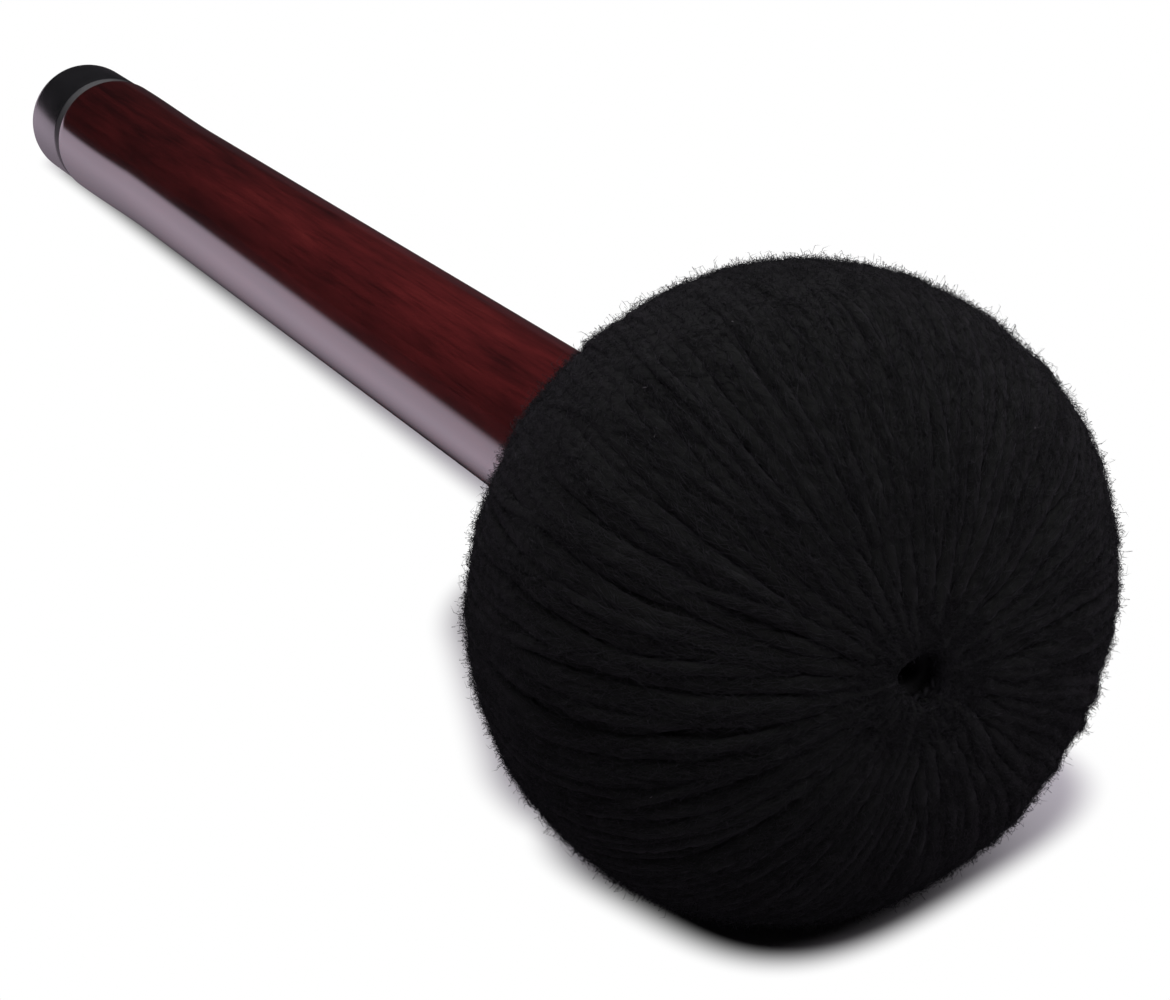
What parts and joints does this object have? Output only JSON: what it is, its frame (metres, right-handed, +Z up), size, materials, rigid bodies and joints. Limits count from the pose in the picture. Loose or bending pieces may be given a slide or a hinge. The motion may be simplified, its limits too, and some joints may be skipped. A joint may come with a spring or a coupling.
{
  "type": "gong mallet",
  "caption": "Gong mallet with a big soft yarn-wound head on a round lacquered wooden handle with a rubber end cap, lying on its head and cap.",
  "frame": {"origin": "on the floor that the mallet lies on, under the middle of its box", "axes": "+X along the mallet towards the head, +Z up, with the mallet lying on its head and its end cap"},
  "size_m": [0.3772, 0.0998, 0.0988],
  "materials": {
    "lacquered_wood": "turned hardwood under glossy dark red-brown lacquer, with a faint streaky grain",
    "bare_wood": "bare turned hardwood",
    "cap_rubber": "smooth moulded black rubber with a chamfered lip",
    "felt": "dense grey wool felt",
    "underlay_yarn": "tightly wound black padding yarn",
    "yarn": "matte near-black wool yarn with fine loose fibres",
    "thread": "waxed black thread"
  },
  "bodies": {
    "root": {"handle": "lacquered_wood", "tenon_wedge": "bare_wood", "end_cap": "cap_rubber", "head_core": "bare_wood", "core_felt": "felt", "front_felt_disc": "felt", "rear_felt_disc": "felt", "underlay_winding": "underlay_yarn", "yarn_winding": "yarn", "crown_stitching": "thread", "neck_binding": "yarn"}
  },
  "joints": []
}
